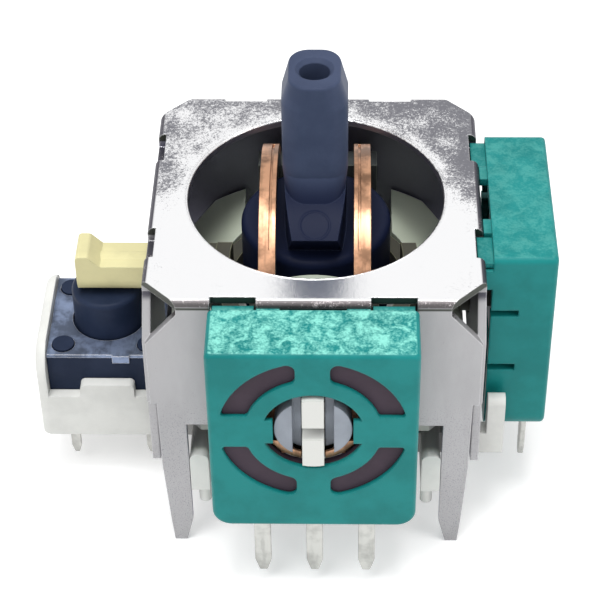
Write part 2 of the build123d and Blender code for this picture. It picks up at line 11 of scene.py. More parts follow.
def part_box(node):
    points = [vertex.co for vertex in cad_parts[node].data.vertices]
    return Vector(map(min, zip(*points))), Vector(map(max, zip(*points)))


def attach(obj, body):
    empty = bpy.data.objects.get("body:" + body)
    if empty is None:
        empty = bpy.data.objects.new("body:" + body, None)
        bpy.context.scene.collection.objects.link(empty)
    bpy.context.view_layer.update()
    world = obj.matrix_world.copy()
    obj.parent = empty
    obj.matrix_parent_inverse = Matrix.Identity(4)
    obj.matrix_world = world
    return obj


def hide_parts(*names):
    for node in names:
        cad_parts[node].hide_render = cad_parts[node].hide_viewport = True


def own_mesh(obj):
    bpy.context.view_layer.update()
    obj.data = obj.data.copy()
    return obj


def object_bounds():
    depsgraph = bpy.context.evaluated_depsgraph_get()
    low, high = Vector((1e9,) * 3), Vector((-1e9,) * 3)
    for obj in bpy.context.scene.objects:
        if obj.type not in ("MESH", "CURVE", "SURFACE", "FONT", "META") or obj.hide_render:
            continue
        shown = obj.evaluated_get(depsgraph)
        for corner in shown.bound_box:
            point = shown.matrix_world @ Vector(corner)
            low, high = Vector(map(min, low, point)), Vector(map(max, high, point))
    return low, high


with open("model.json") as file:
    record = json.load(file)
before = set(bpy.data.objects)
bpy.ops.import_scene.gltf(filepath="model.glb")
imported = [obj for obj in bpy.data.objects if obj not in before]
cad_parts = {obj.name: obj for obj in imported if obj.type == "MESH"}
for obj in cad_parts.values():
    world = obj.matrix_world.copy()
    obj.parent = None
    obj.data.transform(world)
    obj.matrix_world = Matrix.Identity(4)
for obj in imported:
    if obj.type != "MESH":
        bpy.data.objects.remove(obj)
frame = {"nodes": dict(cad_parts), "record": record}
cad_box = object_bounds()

bl_info = {
    "name": "Analog stick module",
    "version": (1, 0, 0),
    "blender": (4, 5, 0),
    "location": "View3D > Sidebar > Stick module",
    "description": "Dresses the packed analog stick module and sets up its studio",
    "category": "Object",
}

MM = 0.001
WHITE = (1.0, 1.0, 1.0)

# Measures of the solids, in metres
PLATE_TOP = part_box("can_frame")[1][2]
HOUSING_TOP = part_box("front_housing")[1][2]
LEG_ENDS = cad_box[0][2]
OPENING_R = 6.14 * MM

# The rows of pins: CAD node, whether a row runs along X, a pin's width and thickness, pins in a row, rows
PIN_BLOCKS = [
    ("front_terminals", True, 0.8 * MM, 0.3 * MM, 3, 1),
    ("right_terminals", False, 0.8 * MM, 0.3 * MM, 3, 1),
    ("switch_terminals", True, 0.5 * MM, 0.24 * MM, 2, 2),
]

# A pin's tapered end, as shares of its width, and its softened edges, as a share of its thickness
TIP_HALF = 0.24
TIP_LENGTH = 0.9
PIN_SOFTENING = 0.2
PIN_SEGMENTS = 2

# Each spring piece and the joint whose deforming node it copies
SPRINGS = {"return_coil": "disc_drop", "snap_dome": "plunger_press"}
MERGE_WITHIN = 0.001 * MM

# The burr round the opening: its steps and sides, and how far out and down it sits, in its own widths
LIP_STEPS = 180
LIP_SIDES = 8
LIP_OUT = 2.6
LIP_DOWN = 0.4

# Heights at which one look of the sheet gives way to the next
PLATE_HEIGHT = (PLATE_TOP - 0.35 * MM, PLATE_TOP - 0.15 * MM)
CUT_HEIGHT = (PLATE_TOP - 0.50 * MM, PLATE_TOP - 0.40 * MM)
BEND_HEIGHT = (PLATE_TOP - 1.15 * MM, PLATE_TOP - 0.85 * MM)
FOOT_HEIGHT = (5.4 * MM, 8.2 * MM)

# Distances from the middle at which it gives way
RIM_REACH = (6.3 * MM, 6.9 * MM)
HOLE_REACH = (6.6 * MM, 7.0 * MM)
BACK_HALF = (-2.2 * MM, 1.0 * MM)
BACK_BORDER = (6.5 * MM, 7.1 * MM)
SIDE_BORDER = (6.8 * MM, 7.2 * MM)
SIDE_FOLD = (7.1 * MM, 7.4 * MM)
INNER_FACE = (-2.0 * MM, 2.0 * MM)

# How much a face of the sheet looks up where it gives way, from 0 to 1
FLAT_UP = (0.90, 0.99)
HOLE_UP = (0.05, 0.30)
BEND_UP = (0.10, 0.30)
CUT_UP = (0.05, 0.20)

# The sheet's grain: how fine its parts are next to the mottles, and the share of each
SPECK_FINENESS = 2.8
BROAD_FINENESS = 0.12
CLOUD_SHARE = 0.34
SPECK_SHARE = 0.42
BROAD_SHARE = 0.24

# What is added to the grain in places, RIGHT_REFLECTION_GRAIN for each metre to the right; the back and
# right terms are a painted darker reflection on the plate's back half
BACK_REFLECTION_GRAIN = 0.165
RIGHT_REFLECTION_GRAIN = 4.0
BORDER_GRAIN = 0.035
RIM_GRAIN = -0.060
FOOT_GRAIN = 0.10

# Levels of a grain at which spots, painted glints, flecks and streaks begin and at which they are whole
SPOT_LEVELS = (0.600, 0.715)
GLINT_LEVELS = (0.53, 0.61)
SIDE_LEVELS = (0.56, 0.62)
FLECK_LEVELS = (0.66, 0.72)
STREAK_LEVELS = (0.3, 0.7)

# How strong the sheet's looks are
SPOT_STRENGTH = 0.9
# How much lighter the bends' painted glints are
GLINT_LIGHTER = 4.6
FLECK_STRENGTH = 0.6
STREAK_STRENGTH = 0.45
STREAK_DARKER = 0.80
STREAK_STRETCH = (1.0, 1.0, 0.3)
SHEET_EDGE = 0.10 * MM
# A painted highlight along the sheet's edges: its strength and colour
SHEET_EDGE_HIGHLIGHT_STRENGTH = 0.5
SHEET_EDGE_HIGHLIGHT_COLOUR = (0.90, 0.90, 0.92)
SHEET_RELIEF = 0.010 * MM
SHEET_CLOUD_RELIEF = 0.6
SHEET_METAL = 0.92
WALL_ROUGH = 0.46
TOP_SMOOTHER = 0.30
SPOT_ROUGHER = 0.16

# Grains for each metre in walls, mouldings and small metal pieces
STREAKS = 700.0
CLOUDS = 420.0
SKIN = 9000.0
SHEEN_WAVES = 1500.0
LINES = 2600.0
PATCHES = 700.0

# Mouldings: their clouds, the painted highlight on their edges, and skin
CLOUD_LEVELS = (0.35, 0.65)
PALE_LIFT = 0.004
EDGE_HIGHLIGHT_LIGHTER = 1.6
EDGE_HIGHLIGHT_LIFT = 0.02
EDGE_HIGHLIGHT_STRENGTH = 0.4
SKIN_RELIEF = 0.006 * MM
SKIN_SHARE = 0.5
CLOUD_ROUGHER = 0.12

# Ejector marks: places and radii, slope as a share of the radius, rise and fall in heights of the skin
HOUSING_MARK = (-0.17 * MM, -10.75 * MM, HOUSING_TOP)
HOUSING_MARK_R = 0.45 * MM
TONGUE_MARK = (0.0, -3.1 * MM, 13.9 * MM)
TONGUE_MARK_R = 0.7 * MM
MARK_SLOPE = 0.14
MARK_RISE = 4.0
MARK_FALL = 2.0

# Painted sheen and glints on the up-facing tops of the sensor housings
SHEEN_UP = (0.85, 0.98)
SHEEN_HEIGHT = (12.0 * MM, 12.6 * MM)
FRONT_HOUSING_END = (-8.2 * MM, -7.6 * MM)
SHEEN_LEVELS = (0.38, 0.64)
WAVE_SHARE = 0.65
SHEEN_STRENGTH = 0.14
FRONT_SHEEN_STRENGTH = 0.66

# Where mouldings change their colour along one axis: where painted shade begins on the stick and arms, where
# the white fork ends, and how strong the painted shade on the arms is
ROOT_SHADE_TOP = (14.4 * MM, 16.2 * MM)
LEVER_END = (-8.4 * MM, -7.6 * MM)
ARCH_FRONT = (-4.6 * MM, -3.8 * MM)
FORK_BACK = (-7.2 * MM, -6.8 * MM)
INTERIOR_SHADE_STRENGTH = 0.82

# The base inside the can, where shade is painted: its outline, the height of its deck and the well under the
# stick's hub
CAN_INSIDE = (7.2 * MM, 7.6 * MM)
DECK_HEIGHT = (5.2 * MM, 6.2 * MM)
WELL_REACH = (4.3 * MM, 4.8 * MM)
WELL_SHADE_STRENGTH = 0.8

# Small metal pieces: their patches, lines and bright edges
PALE_SHARE = 1.6
PATCH_LEVELS = (0.40, 0.65)
LINE_LEVELS = (0.50, 0.68)
LINE_STRENGTH = 0.6
LINE_ROUGHER = 0.16
LINE_RELIEF = 0.008 * MM
METAL_EDGE = 0.04 * MM
BRIGHT_EDGE = 0.06 * MM
ALONG_RAIL = (1.6, 0.08, 0.08)
ALONG_PIN = (1.0, 1.0, 0.2)
ALONG_COVER = (1.0, 0.15, 1.0)

# The lamps: name, place, size and watts
LAMPS = [
    ("key_lamp", (-0.12, -0.14, 0.32), 0.16, 0.38),
    ("side_lamp", (0.26, -0.12, 0.16), 0.14, 0.20),
    ("top_lamp", (0.0, -0.03, 0.34), 0.12, 0.54),
]
LAMP_AIM = (0.0, 0.0, 0.008)

# The camera's sensor in millimetres, and the nearest and furthest that it sees in metres
SENSOR_WIDTH = 36.0
NEAREST = 0.001
FURTHEST = 10.0

# The floor, and the level of the world's plain light
FLOOR_HALF = 0.6
FLOOR_COLOUR = (0.82, 0.82, 0.82)
FLOOR_ROUGH = 0.9
FLOOR_GLOW = 0.38
PLAIN_LIGHT = 0.62


class Wire:
    """An output socket that takes part in arithmetic."""

    def __init__(self, board, socket):
        self.board = board
        self.socket = socket

    def _math(self, operation, *operands):
        inputs = dict(enumerate(operands))
        return self.board.node("Math", {"operation": operation}, inputs)

    def __add__(self, other):
        return self._math("ADD", self, other)

    def __radd__(self, other):
        return self._math("ADD", other, self)

    def __sub__(self, other):
        return self._math("SUBTRACT", self, other)

    def __rsub__(self, other):
        return self._math("SUBTRACT", other, self)

    def __mul__(self, other):
        return self._math("MULTIPLY", self, other)

    def __rmul__(self, other):
        return self._math("MULTIPLY", other, self)

    def above(self, low, high):
        """0 below low, 1 above high, smooth between."""
        settings = {"interpolation_type": "SMOOTHSTEP"}
        inputs = {"Value": self, "From Min": low, "From Max": high}
        return self.board.node("MapRange", settings, inputs)

    def beyond(self, low, high):
        """0 nearer to zero than low and 1 further than high, on both sides of zero."""
        return (self * self).above(low ** 2, high ** 2)


class Board:
    """A node tree and the way nodes are added to it."""

    prefix = "ShaderNode"

    def __init__(self, tree):
        self.tree = tree
        self.tree.nodes.clear()

    def node(self, kind, settings=None, inputs=None, output=0):
        """Add a node, its settings first and then its sockets' values or links, and give one output."""
        made = self.tree.nodes.new(self.prefix + kind)
        for key, value in (settings or {}).items():
            setattr(made, key, value)
        for key, value in (inputs or {}).items():
            if isinstance(value, Wire):
                self.tree.links.new(value.socket, made.inputs[key])
            else:
                made.inputs[key].default_value = value
        if made.outputs:
            return Wire(self, made.outputs[output])
        return None


class Finish(Board):
    """One procedural material and the nodes that make it."""

    bevel_samples = 4
    edge_gain = 4.0
    edge_levels = (0.05, 1.0)

    def __init__(self, name):
        self.material = bpy.data.materials.new(name)
        self.material.use_nodes = True
        super().__init__(self.material.node_tree)

    def place(self, stretch=(1.0, 1.0, 1.0)):
        """Object coordinates in metres, stretched along the axes."""
        here = self.node("TexCoord", output="Object")
        return self.node("Mapping", {}, {"Vector": here, "Scale": stretch})

    def noise(self, scale, detail=4.0, rough=0.6, place=None, warp=0.0):
        """Cloudy variation from 0 to 1."""
        inputs = {"Scale": scale, "Detail": detail, "Roughness": rough, "Distortion": warp}
        inputs["Vector"] = place or self.place()
        return self.node("TexNoise", {}, inputs)

    def mix(self, factor, first, second):
        """Blend two colours."""
        inputs = {0: factor, 6: opaque(first), 7: opaque(second)}
        return self.node("Mix", {"data_type": "RGBA"}, inputs, output=2)

    def normal_part(self, axis):
        """One component of the surface's own normal."""
        normal = self.node("NewGeometry", output="Normal")
        return self.node("SeparateXYZ", {}, {0: normal}, output=axis)

    def place_part(self, axis):
        """One component of the place on the object, in metres."""
        here = self.node("TexCoord", output="Object")
        return self.node("SeparateXYZ", {}, {0: here}, output=axis)

    def reach(self, spot):
        """How far a point of the surface is from a spot."""
        here = self.node("TexCoord", output="Object")
        return self.node("VectorMath", {"operation": "DISTANCE"}, {0: here, 1: spot}, output="Value")

    def ring(self, low, high):
        """0 nearer to the upright middle line than low and 1 further than high."""
        across, along = self.place_part("X"), self.place_part("Y")
        return (across * across + along * along).above(low ** 2, high ** 2)

    def rounded(self, radius):
        """The surface's normal with its edges rounded by a radius."""
        return self.node("Bevel", {"samples": self.bevel_samples}, {"Radius": radius})

    def edges(self, radius):
        """1 along sharp edges and 0 on flats."""
        flat = self.node("NewGeometry", output="Normal")
        inputs = {0: self.rounded(radius), 1: flat}
        turned = self.node("VectorMath", {"operation": "DOT_PRODUCT"}, inputs, output="Value")
        return ((1.0 - turned) * self.edge_gain).above(*self.edge_levels)

    def bump(self, height, depth, radius):
        """A normal from a height, on top of rounded edges."""
        inputs = {"Height": height, "Distance": depth, "Normal": self.rounded(radius)}
        return self.node("Bump", {}, inputs)

    def close(self, colour, rough, normal, metallic=0.0, **fixed):
        """Join everything to the surface and give the material."""
        inputs = {"Base Color": opaque(colour), "Roughness": rough, "Metallic": metallic, "Normal": normal}
        inputs.update(fixed)
        surface = self.node("BsdfPrincipled", {}, inputs)
        self.node("OutputMaterial", {}, {"Surface": surface})
        return self.material


class Recipe(Board):
    """A tree of geometry nodes with named inputs."""

    prefix = "GeometryNode"

    def __init__(self, name, sockets):
        super().__init__(bpy.data.node_groups.new(name, "GeometryNodeTree"))
        face = self.tree.interface
        face.new_socket(name="Geometry", in_out="INPUT", socket_type="NodeSocketGeometry")
        for title, kind in sockets:
            face.new_socket(name=title, in_out="INPUT", socket_type="NodeSocket" + kind)
        face.new_socket(name="Material", in_out="INPUT", socket_type="NodeSocketMaterial")
        face.new_socket(name="Geometry", in_out="OUTPUT", socket_type="NodeSocketGeometry")
        self.start = self.tree.nodes.new("NodeGroupInput")

    def given(self, title):
        """One of the named inputs."""
        return Wire(self, self.start.outputs[title])

    def close(self, shape):
        """Turn copies into real faces, give them their material and end the tree."""
        solid = self.node("RealizeInstances", {}, {"Geometry": shape})
        done = self.node("SetMaterial", {}, {"Geometry": solid, "Material": self.given("Material")})
        end = self.tree.nodes.new("NodeGroupOutput")
        self.tree.links.new(done.socket, end.inputs["Geometry"])

    def bake(self, name, mesh, values):
        """Run the tree on a mesh and keep the result as one plain piece."""
        piece = bpy.data.objects.new(name, mesh)
        bpy.context.scene.collection.objects.link(piece)
        build = piece.modifiers.new("build", "NODES")
        build.node_group = self.tree
        for item in self.tree.interface.items_tree:
            if item.in_out == "INPUT" and item.name in values:
                build[item.identifier] = values[item.name]
        graph = bpy.context.evaluated_depsgraph_get()
        plain = bpy.data.meshes.new_from_object(piece.evaluated_get(graph))
        piece.modifiers.remove(build)
        piece.data = plain
        return piece


def opaque(colour):
    """A colour as red, green, blue and full alpha, or a wire as it is."""
    if isinstance(colour, Wire):
        return colour
    return (colour[0], colour[1], colour[2], 1.0)


def scaled(colour, times, lift=0.0):
    """A colour made lighter or deeper."""
    return [min(1.0, part * times + lift) for part in colour]


def colour_property(name, text, default):
    """A colour that a user can change."""
    return FloatVectorProperty(
        name=name, description=text, default=default, size=3, min=0.0, max=1.0, subtype="COLOR"
    )


def length_property(name, text, default):
    """A length that a user can change."""
    return FloatProperty(name=name, description=text, default=default, unit="LENGTH")


def angle_property(name, text, degrees):
    """An angle that a user can change."""
    return FloatProperty(name=name, description=text, default=math.radians(degrees), unit="ROTATION")


class CanProps(PropertyGroup):
    """Colours and sizes of the folded can."""

    bright: colour_property("Bright tin", "Colour of the polished sheet", (0.92, 0.92, 0.93))
    # The dark mottles are grain, and on the plate's back half also a painted darker reflection
    dull: colour_property("Dull tin", "Colour of the sheet's dark mottles", (0.120, 0.120, 0.145))
    # Bends: a painted darker reflection, darker still as a painted reflection on the left and right
    bend: colour_property("Bends", "Colour of the bends", (0.125, 0.115, 0.117))
    side: colour_property("Side bends", "Colour of the bends on the left and right", (0.085, 0.082, 0.100))
    cut: colour_property("Cut edges", "Colour of the plate's cut edges in the slots", (0.060, 0.064, 0.055))
    # The walls' colour is darker than the top as a painted reflection
    wall: colour_property("Wall", "Colour of the matt walls and legs", (0.385, 0.38, 0.39))
    # The inner faces' darker colour is painted shade
    inside: colour_property("Inside", "Colour of the walls' inner faces", (0.27, 0.265, 0.34))
    mottle: length_property("Mottle size", "Size of the mottles", 0.18 * MM)
    lip: length_property("Lip", "Width of the burr round the opening", 0.05 * MM)


class MouldingProps(PropertyGroup):
    """Colours of the moulded pieces."""

    green: colour_property("Sensor green", "Colour of the sensor housings", (0.003, 0.198, 0.192))
    # Painted sheen and glints on the housings' tops
    top_sheen: colour_property("Mint", "Colour of the scuffed tops of the housings", (0.30, 0.80, 0.68))
    slate: colour_property("Slate", "Colour of the stick", (0.045, 0.060, 0.110))
    # Painted shade on the stick's lower part, inside the can
    root: colour_property("Root", "Colour of the stick's hub and tongue", (0.008, 0.012, 0.034))
    navy: colour_property("Navy", "Colour of the switch's plunger and case", (0.015, 0.024, 0.052))
    cream: colour_property("Cream", "Colour of the lower arm", (0.70, 0.65, 0.36))
    # Painted shade on the arms inside the can and in the well
    interior_shade: colour_property("Grease", "Colour of the greased arms and well", (0.030, 0.033, 0.042))
    shade: colour_property("Under shade", "Colour of the base's parts below the deck", (0.36, 0.36, 0.35))
    white: colour_property("White", "Colour of the base, disc and upper arm's fork", (0.735, 0.74, 0.71))
    # Painted greenish shade on the base's deck inside the can
    deck: colour_property("Deck", "Colour of the base's deck inside the can", (0.70, 0.77, 0.62))
    # Painted shade: the upper arm's white as it looks in shade inside the can
    inner: colour_property("Inner white", "Colour of the upper arm inside the can", (0.36, 0.40, 0.33))
    rotor: colour_property("Rotor grey", "Colour of the sensor rotors", (0.30, 0.33, 0.38))
    wafer: colour_property("Wafer brown", "Colour of the resistive wafers", (0.048, 0.031, 0.046))


class MetalProps(PropertyGroup):
    """Colours of the small metal pieces."""

    copper: colour_property("Copper", "Colour of the wear rails and brushes", (0.37, 0.205, 0.125))
    tin: colour_property("Tin", "Colour of the solder pins, springs and pivot pin", (0.42, 0.42, 0.40))
    silver: colour_property("Silver", "Colour of the cover plate's bright edges", (0.80, 0.80, 0.82))
    cover: colour_property("Cover plate", "Colour of the switch's cover plate", (0.143, 0.178, 0.262))


class StudioProps(PropertyGroup):
    """The camera and the level of the lamps."""

    spot: FloatVectorProperty(
        name="Camera place",
        description="Where the camera stands",
        default=(1.5 * MM, -74.93 * MM, 73.22 * MM),
        size=3,
        subtype="TRANSLATION",
        unit="LENGTH",
    )
    pitch: angle_property("Pitch", "Camera tilt from straight down", 48.34)
    yaw: angle_property("Yaw", "Camera turn about the vertical", 1.79)
    roll: angle_property("Roll", "Camera turn about its own axis", -0.97)
    lens: FloatProperty(name="Lens", description="Focal length on a 36 mm sensor", default=120.0)
    lamp: FloatProperty(name="Lamp level", description="Strength of the three lamps", default=1.0, min=0.0)


class Sheet(Finish):
    """The can's tin-plated sheet: the grain that its looks share, and where each look lies."""

    def __init__(self, mottle):
        super().__init__("steel_sheet")
        self.across, self.along, self.high = [self.place_part(axis) for axis in "XYZ"]
        self.up = self.normal_part("Z")
        self.cloud = self.noise(1.0 / mottle, detail=5.0, rough=0.7, warp=0.4)
        self.speck = self.noise(SPECK_FINENESS / mottle, detail=3.0, rough=0.7)
        broad = self.noise(BROAD_FINENESS / mottle, detail=3.0, rough=0.5)
        self.grain = self.cloud * CLOUD_SHARE + self.speck * SPECK_SHARE + broad * BROAD_SHARE
        self.past_hole = self.ring(*HOLE_REACH)
        flat = self.up.above(*FLAT_UP) * self.high.above(*PLATE_HEIGHT)
        self.top = flat + (1.0 - flat) * (1.0 - self.past_hole) * self.up.above(*HOLE_UP)

    def bends(self):
        """1 on the bends between the plate and the walls."""
        return self.up.above(*BEND_UP) * (1.0 - self.top) * self.high.above(*BEND_HEIGHT)

    def cuts(self):
        """1 on the plate's upright cut edges away from the opening."""
        return self.past_hole * (1.0 - self.up.above(*CUT_UP)) * self.high.above(*CUT_HEIGHT)

    def spots(self):
        """1 in the plate's dark mottles of grain, which crowd along its border, and crowd on its back half
        as a painted darker reflection.
        """
        # Painted darker reflection: more mottles on the back half, rising to the right
        back = self.along.above(*BACK_HALF) * (BACK_REFLECTION_GRAIN + self.across * RIGHT_REFLECTION_GRAIN)
        border = (self.along.above(*BACK_BORDER) + self.across.beyond(*SIDE_BORDER)) * BORDER_GRAIN
        rim = (1.0 - self.ring(*RIM_REACH)) * RIM_GRAIN
        return (self.grain + back + border + rim).above(*SPOT_LEVELS)

    def folds(self, bend, side):
        """Bends darker than the top as a painted reflection, with painted glints, and darker still on the
        left and right as a painted reflection.
        """
        # Painted glints on the bends
        colour = self.mix(self.grain.above(*GLINT_LEVELS), bend, scaled(bend, GLINT_LIGHTER))
        dark = self.across.beyond(*SIDE_FOLD) * (1.0 - self.grain.above(*SIDE_LEVELS))
        return self.mix(dark, colour, side)

    def walls(self, wall, fleck, inside):
        """Matt walls, darker than the top as a painted reflection, with faint upright streaks and flecks
        towards the feet, and inner faces darker as painted shade.
        """
        streak = self.noise(STREAKS, detail=5.0, place=self.place(STREAK_STRETCH)).above(*STREAK_LEVELS)
        colour = self.mix(streak * STREAK_STRENGTH, wall, scaled(wall, STREAK_DARKER))
        foot = 1.0 - self.high.above(*FOOT_HEIGHT)
        flecks = (self.speck + foot * FOOT_GRAIN).above(*FLECK_LEVELS)
        colour = self.mix(flecks * FLECK_STRENGTH, colour, fleck)
        # Painted shade on the faces that look inward
        facing = self.normal_part("X") * self.across + self.normal_part("Y") * self.along
        return self.mix(facing.above(*INNER_FACE), inside, colour)


def steel_finish(props):
    """Tin-plated sheet: near-white top whose mottles crowd on the back half as a painted darker reflection,
    bends darker as a painted reflection with painted glints, matt walls darker than the top as a painted
    reflection, inner faces darker as painted shade, and painted highlights along edges.
    """
    made = Sheet(props.mottle)
    spots = made.spots()
    plate = made.mix(spots * SPOT_STRENGTH, props.bright, props.dull)
    colour = made.mix(made.cuts(), made.walls(props.wall, props.dull, props.inside), props.cut)
    colour = made.mix(made.bends(), colour, made.folds(props.bend, props.side))
    colour = made.mix(made.top, colour, plate)
    # Painted highlight along the sheet's edges
    colour = made.mix(made.edges(SHEET_EDGE) * SHEET_EDGE_HIGHLIGHT_STRENGTH, colour, SHEET_EDGE_HIGHLIGHT_COLOUR)
    rough = WALL_ROUGH - made.top * TOP_SMOOTHER + made.top * spots * SPOT_ROUGHER
    height = made.cloud * SHEET_CLOUD_RELIEF + made.speck * (1.0 - SHEET_CLOUD_RELIEF)
    return made.close(colour, rough, made.bump(height, SHEET_RELIEF, SHEET_EDGE), SHEET_METAL)


class Moulding(Finish):
    """Moulded plastic: its faint clouds and its fine skin."""

    def __init__(self, name):
        super().__init__(name)
        self.cloud = self.noise(CLOUDS, detail=5.0)
        self.skin = self.noise(SKIN, detail=3.0, rough=0.55)


def moulding_finish(name, colour, rough=0.38, vary=0.10, radius=0.08 * MM, gloss=0.25, steps=()):
    """Moulded plastic with a fine skin, faint clouds and paler edges, a painted highlight.

    Each step takes the colour and the height of the skin, and gives them back with what is the piece's own.
    """
    made = Moulding(name)
    pale = scaled(colour, 1.0 + vary, PALE_LIFT)
    base = made.mix(made.cloud.above(*CLOUD_LEVELS), scaled(colour, 1.0 - vary), pale)
    height = made.skin * SKIN_SHARE + made.cloud * (1.0 - SKIN_SHARE)
    for step in steps:
        base, height = step(made, base, height)
    # Paler edges: a painted highlight
    edge_highlight = scaled(colour, EDGE_HIGHLIGHT_LIGHTER, EDGE_HIGHLIGHT_LIFT)
    base = made.mix(made.edges(radius) * EDGE_HIGHLIGHT_STRENGTH, base, edge_highlight)
    normal = made.bump(height, SKIN_RELIEF, radius)
    return made.close(base, rough + made.cloud * CLOUD_ROUGHER, normal, **{"Specular IOR Level": gloss})


def marked(spot, radius):
    """A round ejector mark, a little sunk, with a raised rim."""

    def step(made, base, height):
        far = made.reach(spot)
        rise = far.above(radius * (1.0 - MARK_SLOPE), radius) * MARK_RISE
        fall = far.above(radius, radius * (1.0 + MARK_SLOPE)) * MARK_FALL
        return base, height + rise - fall

    return step


def sheened(top_sheen):
    """Painted sheen and glints on the up-facing tops of the sensor housings, strong on the front one."""

    def step(made, base, height):
        flat = made.normal_part("Z").above(*SHEEN_UP) * made.place_part("Z").above(*SHEEN_HEIGHT)
        front = 1.0 - made.place_part("Y").above(*FRONT_HOUSING_END)
        wave = made.noise(SHEEN_WAVES, detail=5.0, warp=0.8)
        glint = (wave * WAVE_SHARE + made.skin * (1.0 - WAVE_SHARE)).above(*SHEEN_LEVELS)
        strength = SHEEN_STRENGTH + front * FRONT_SHEEN_STRENGTH
        return made.mix(flat * glint * strength, base, top_sheen), height

    return step


def tinted(axis, span, tint):
    """Another colour on the part of a piece that lies before a span along an axis."""

    def step(made, base, height):
        return made.mix(made.place_part(axis).above(*span), tint, base), height

    return step


def shaded(axis, span, interior_shade):
    """Painted shade, with faint clouds, on the part of an arm that lies beyond a span along an axis."""

    def step(made, base, height):
        in_shade = made.place_part(axis).above(*span)
        strength = INTERIOR_SHADE_STRENGTH + made.cloud * (1.0 - INTERIOR_SHADE_STRENGTH)
        return made.mix(in_shade * strength, base, interior_shade), height

    return step


def decked(deck, shade, interior_shade):
    """Painted greenish shade on the deck inside the can, painted shade on the parts below it and in the well
    under the stick's hub.
    """

    def step(made, base, height):
        across, along = made.place_part("X"), made.place_part("Y")
        inside = (1.0 - across.beyond(*CAN_INSIDE)) * (1.0 - along.beyond(*CAN_INSIDE))
        # Painted greenish shade on the deck
        base = made.mix(inside, base, deck)
        below = 1.0 - made.place_part("Z").above(*DECK_HEIGHT)
        base = made.mix(inside * below, base, shade)
        well = 1.0 - made.ring(*WELL_REACH)
        return made.mix(well * WELL_SHADE_STRENGTH, base, interior_shade), height

    return step


def metal_finish(name, colour, rough, stretch=(1.0, 1.0, 1.0), vary=0.25, rim=None, metallic=1.0):
    """Drawn or plated metal with fine lines and dull patches, and bright edges where rim is a colour."""
    made = Finish(name)
    lines = made.noise(LINES, place=made.place(stretch))
    patch = made.noise(PATCHES)
    deep = scaled(colour, 1.0 - vary)
    pale = scaled(colour, 1.0 + PALE_SHARE * vary)
    base = made.mix(patch.above(*PATCH_LEVELS), pale, deep)
    base = made.mix(lines.above(*LINE_LEVELS) * LINE_STRENGTH, base, deep)
    if rim:
        base = made.mix(made.edges(BRIGHT_EDGE), base, rim)
    normal = made.bump(lines, LINE_RELIEF, METAL_EDGE)
    return made.close(base, rough + lines * LINE_ROUGHER, normal, metallic)


def paint(nodes, material):
    """Give CAD nodes a material."""
    for name in nodes:
        for slot in frame["nodes"][name].material_slots:
            slot.material = material


def require(condition, text):
    """Stop with a plain message where something is missing."""
    if not condition:
        raise RuntimeError(text)


class STICK_OT_can(Operator):
    """Finish the folded steel can."""

    bl_idname = "stick.can"
    bl_label = "Can"

    def execute(self, context):
        props = context.scene.stick_can
        steel = steel_finish(props)
        paint(["can_frame"], steel)
        lip = Recipe("opening_lip", [("Radius", "Float"), ("Wire", "Float"), ("Place", "Vector")])
        hole = lip.node("CurvePrimitiveCircle", {}, {"Resolution": LIP_STEPS, "Radius": lip.given("Radius")})
        wire = lip.node("CurvePrimitiveCircle", {}, {"Resolution": LIP_SIDES, "Radius": lip.given("Wire")})
        ring = lip.node("CurveToMesh", {}, {"Curve": hole, "Profile Curve": wire})
        lip.close(lip.node("Transform", {}, {"Geometry": ring, "Translation": lip.given("Place")}))
        values = {
            "Radius": OPENING_R + LIP_OUT * props.lip,
            "Wire": props.lip,
            "Place": (0.0, 0.0, PLATE_TOP - LIP_DOWN * props.lip),
            "Material": steel,
        }
        piece = lip.bake("opening_lip", bpy.data.meshes.new("opening_lip"), values)
        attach(piece, "module")
        return {"FINISHED"}


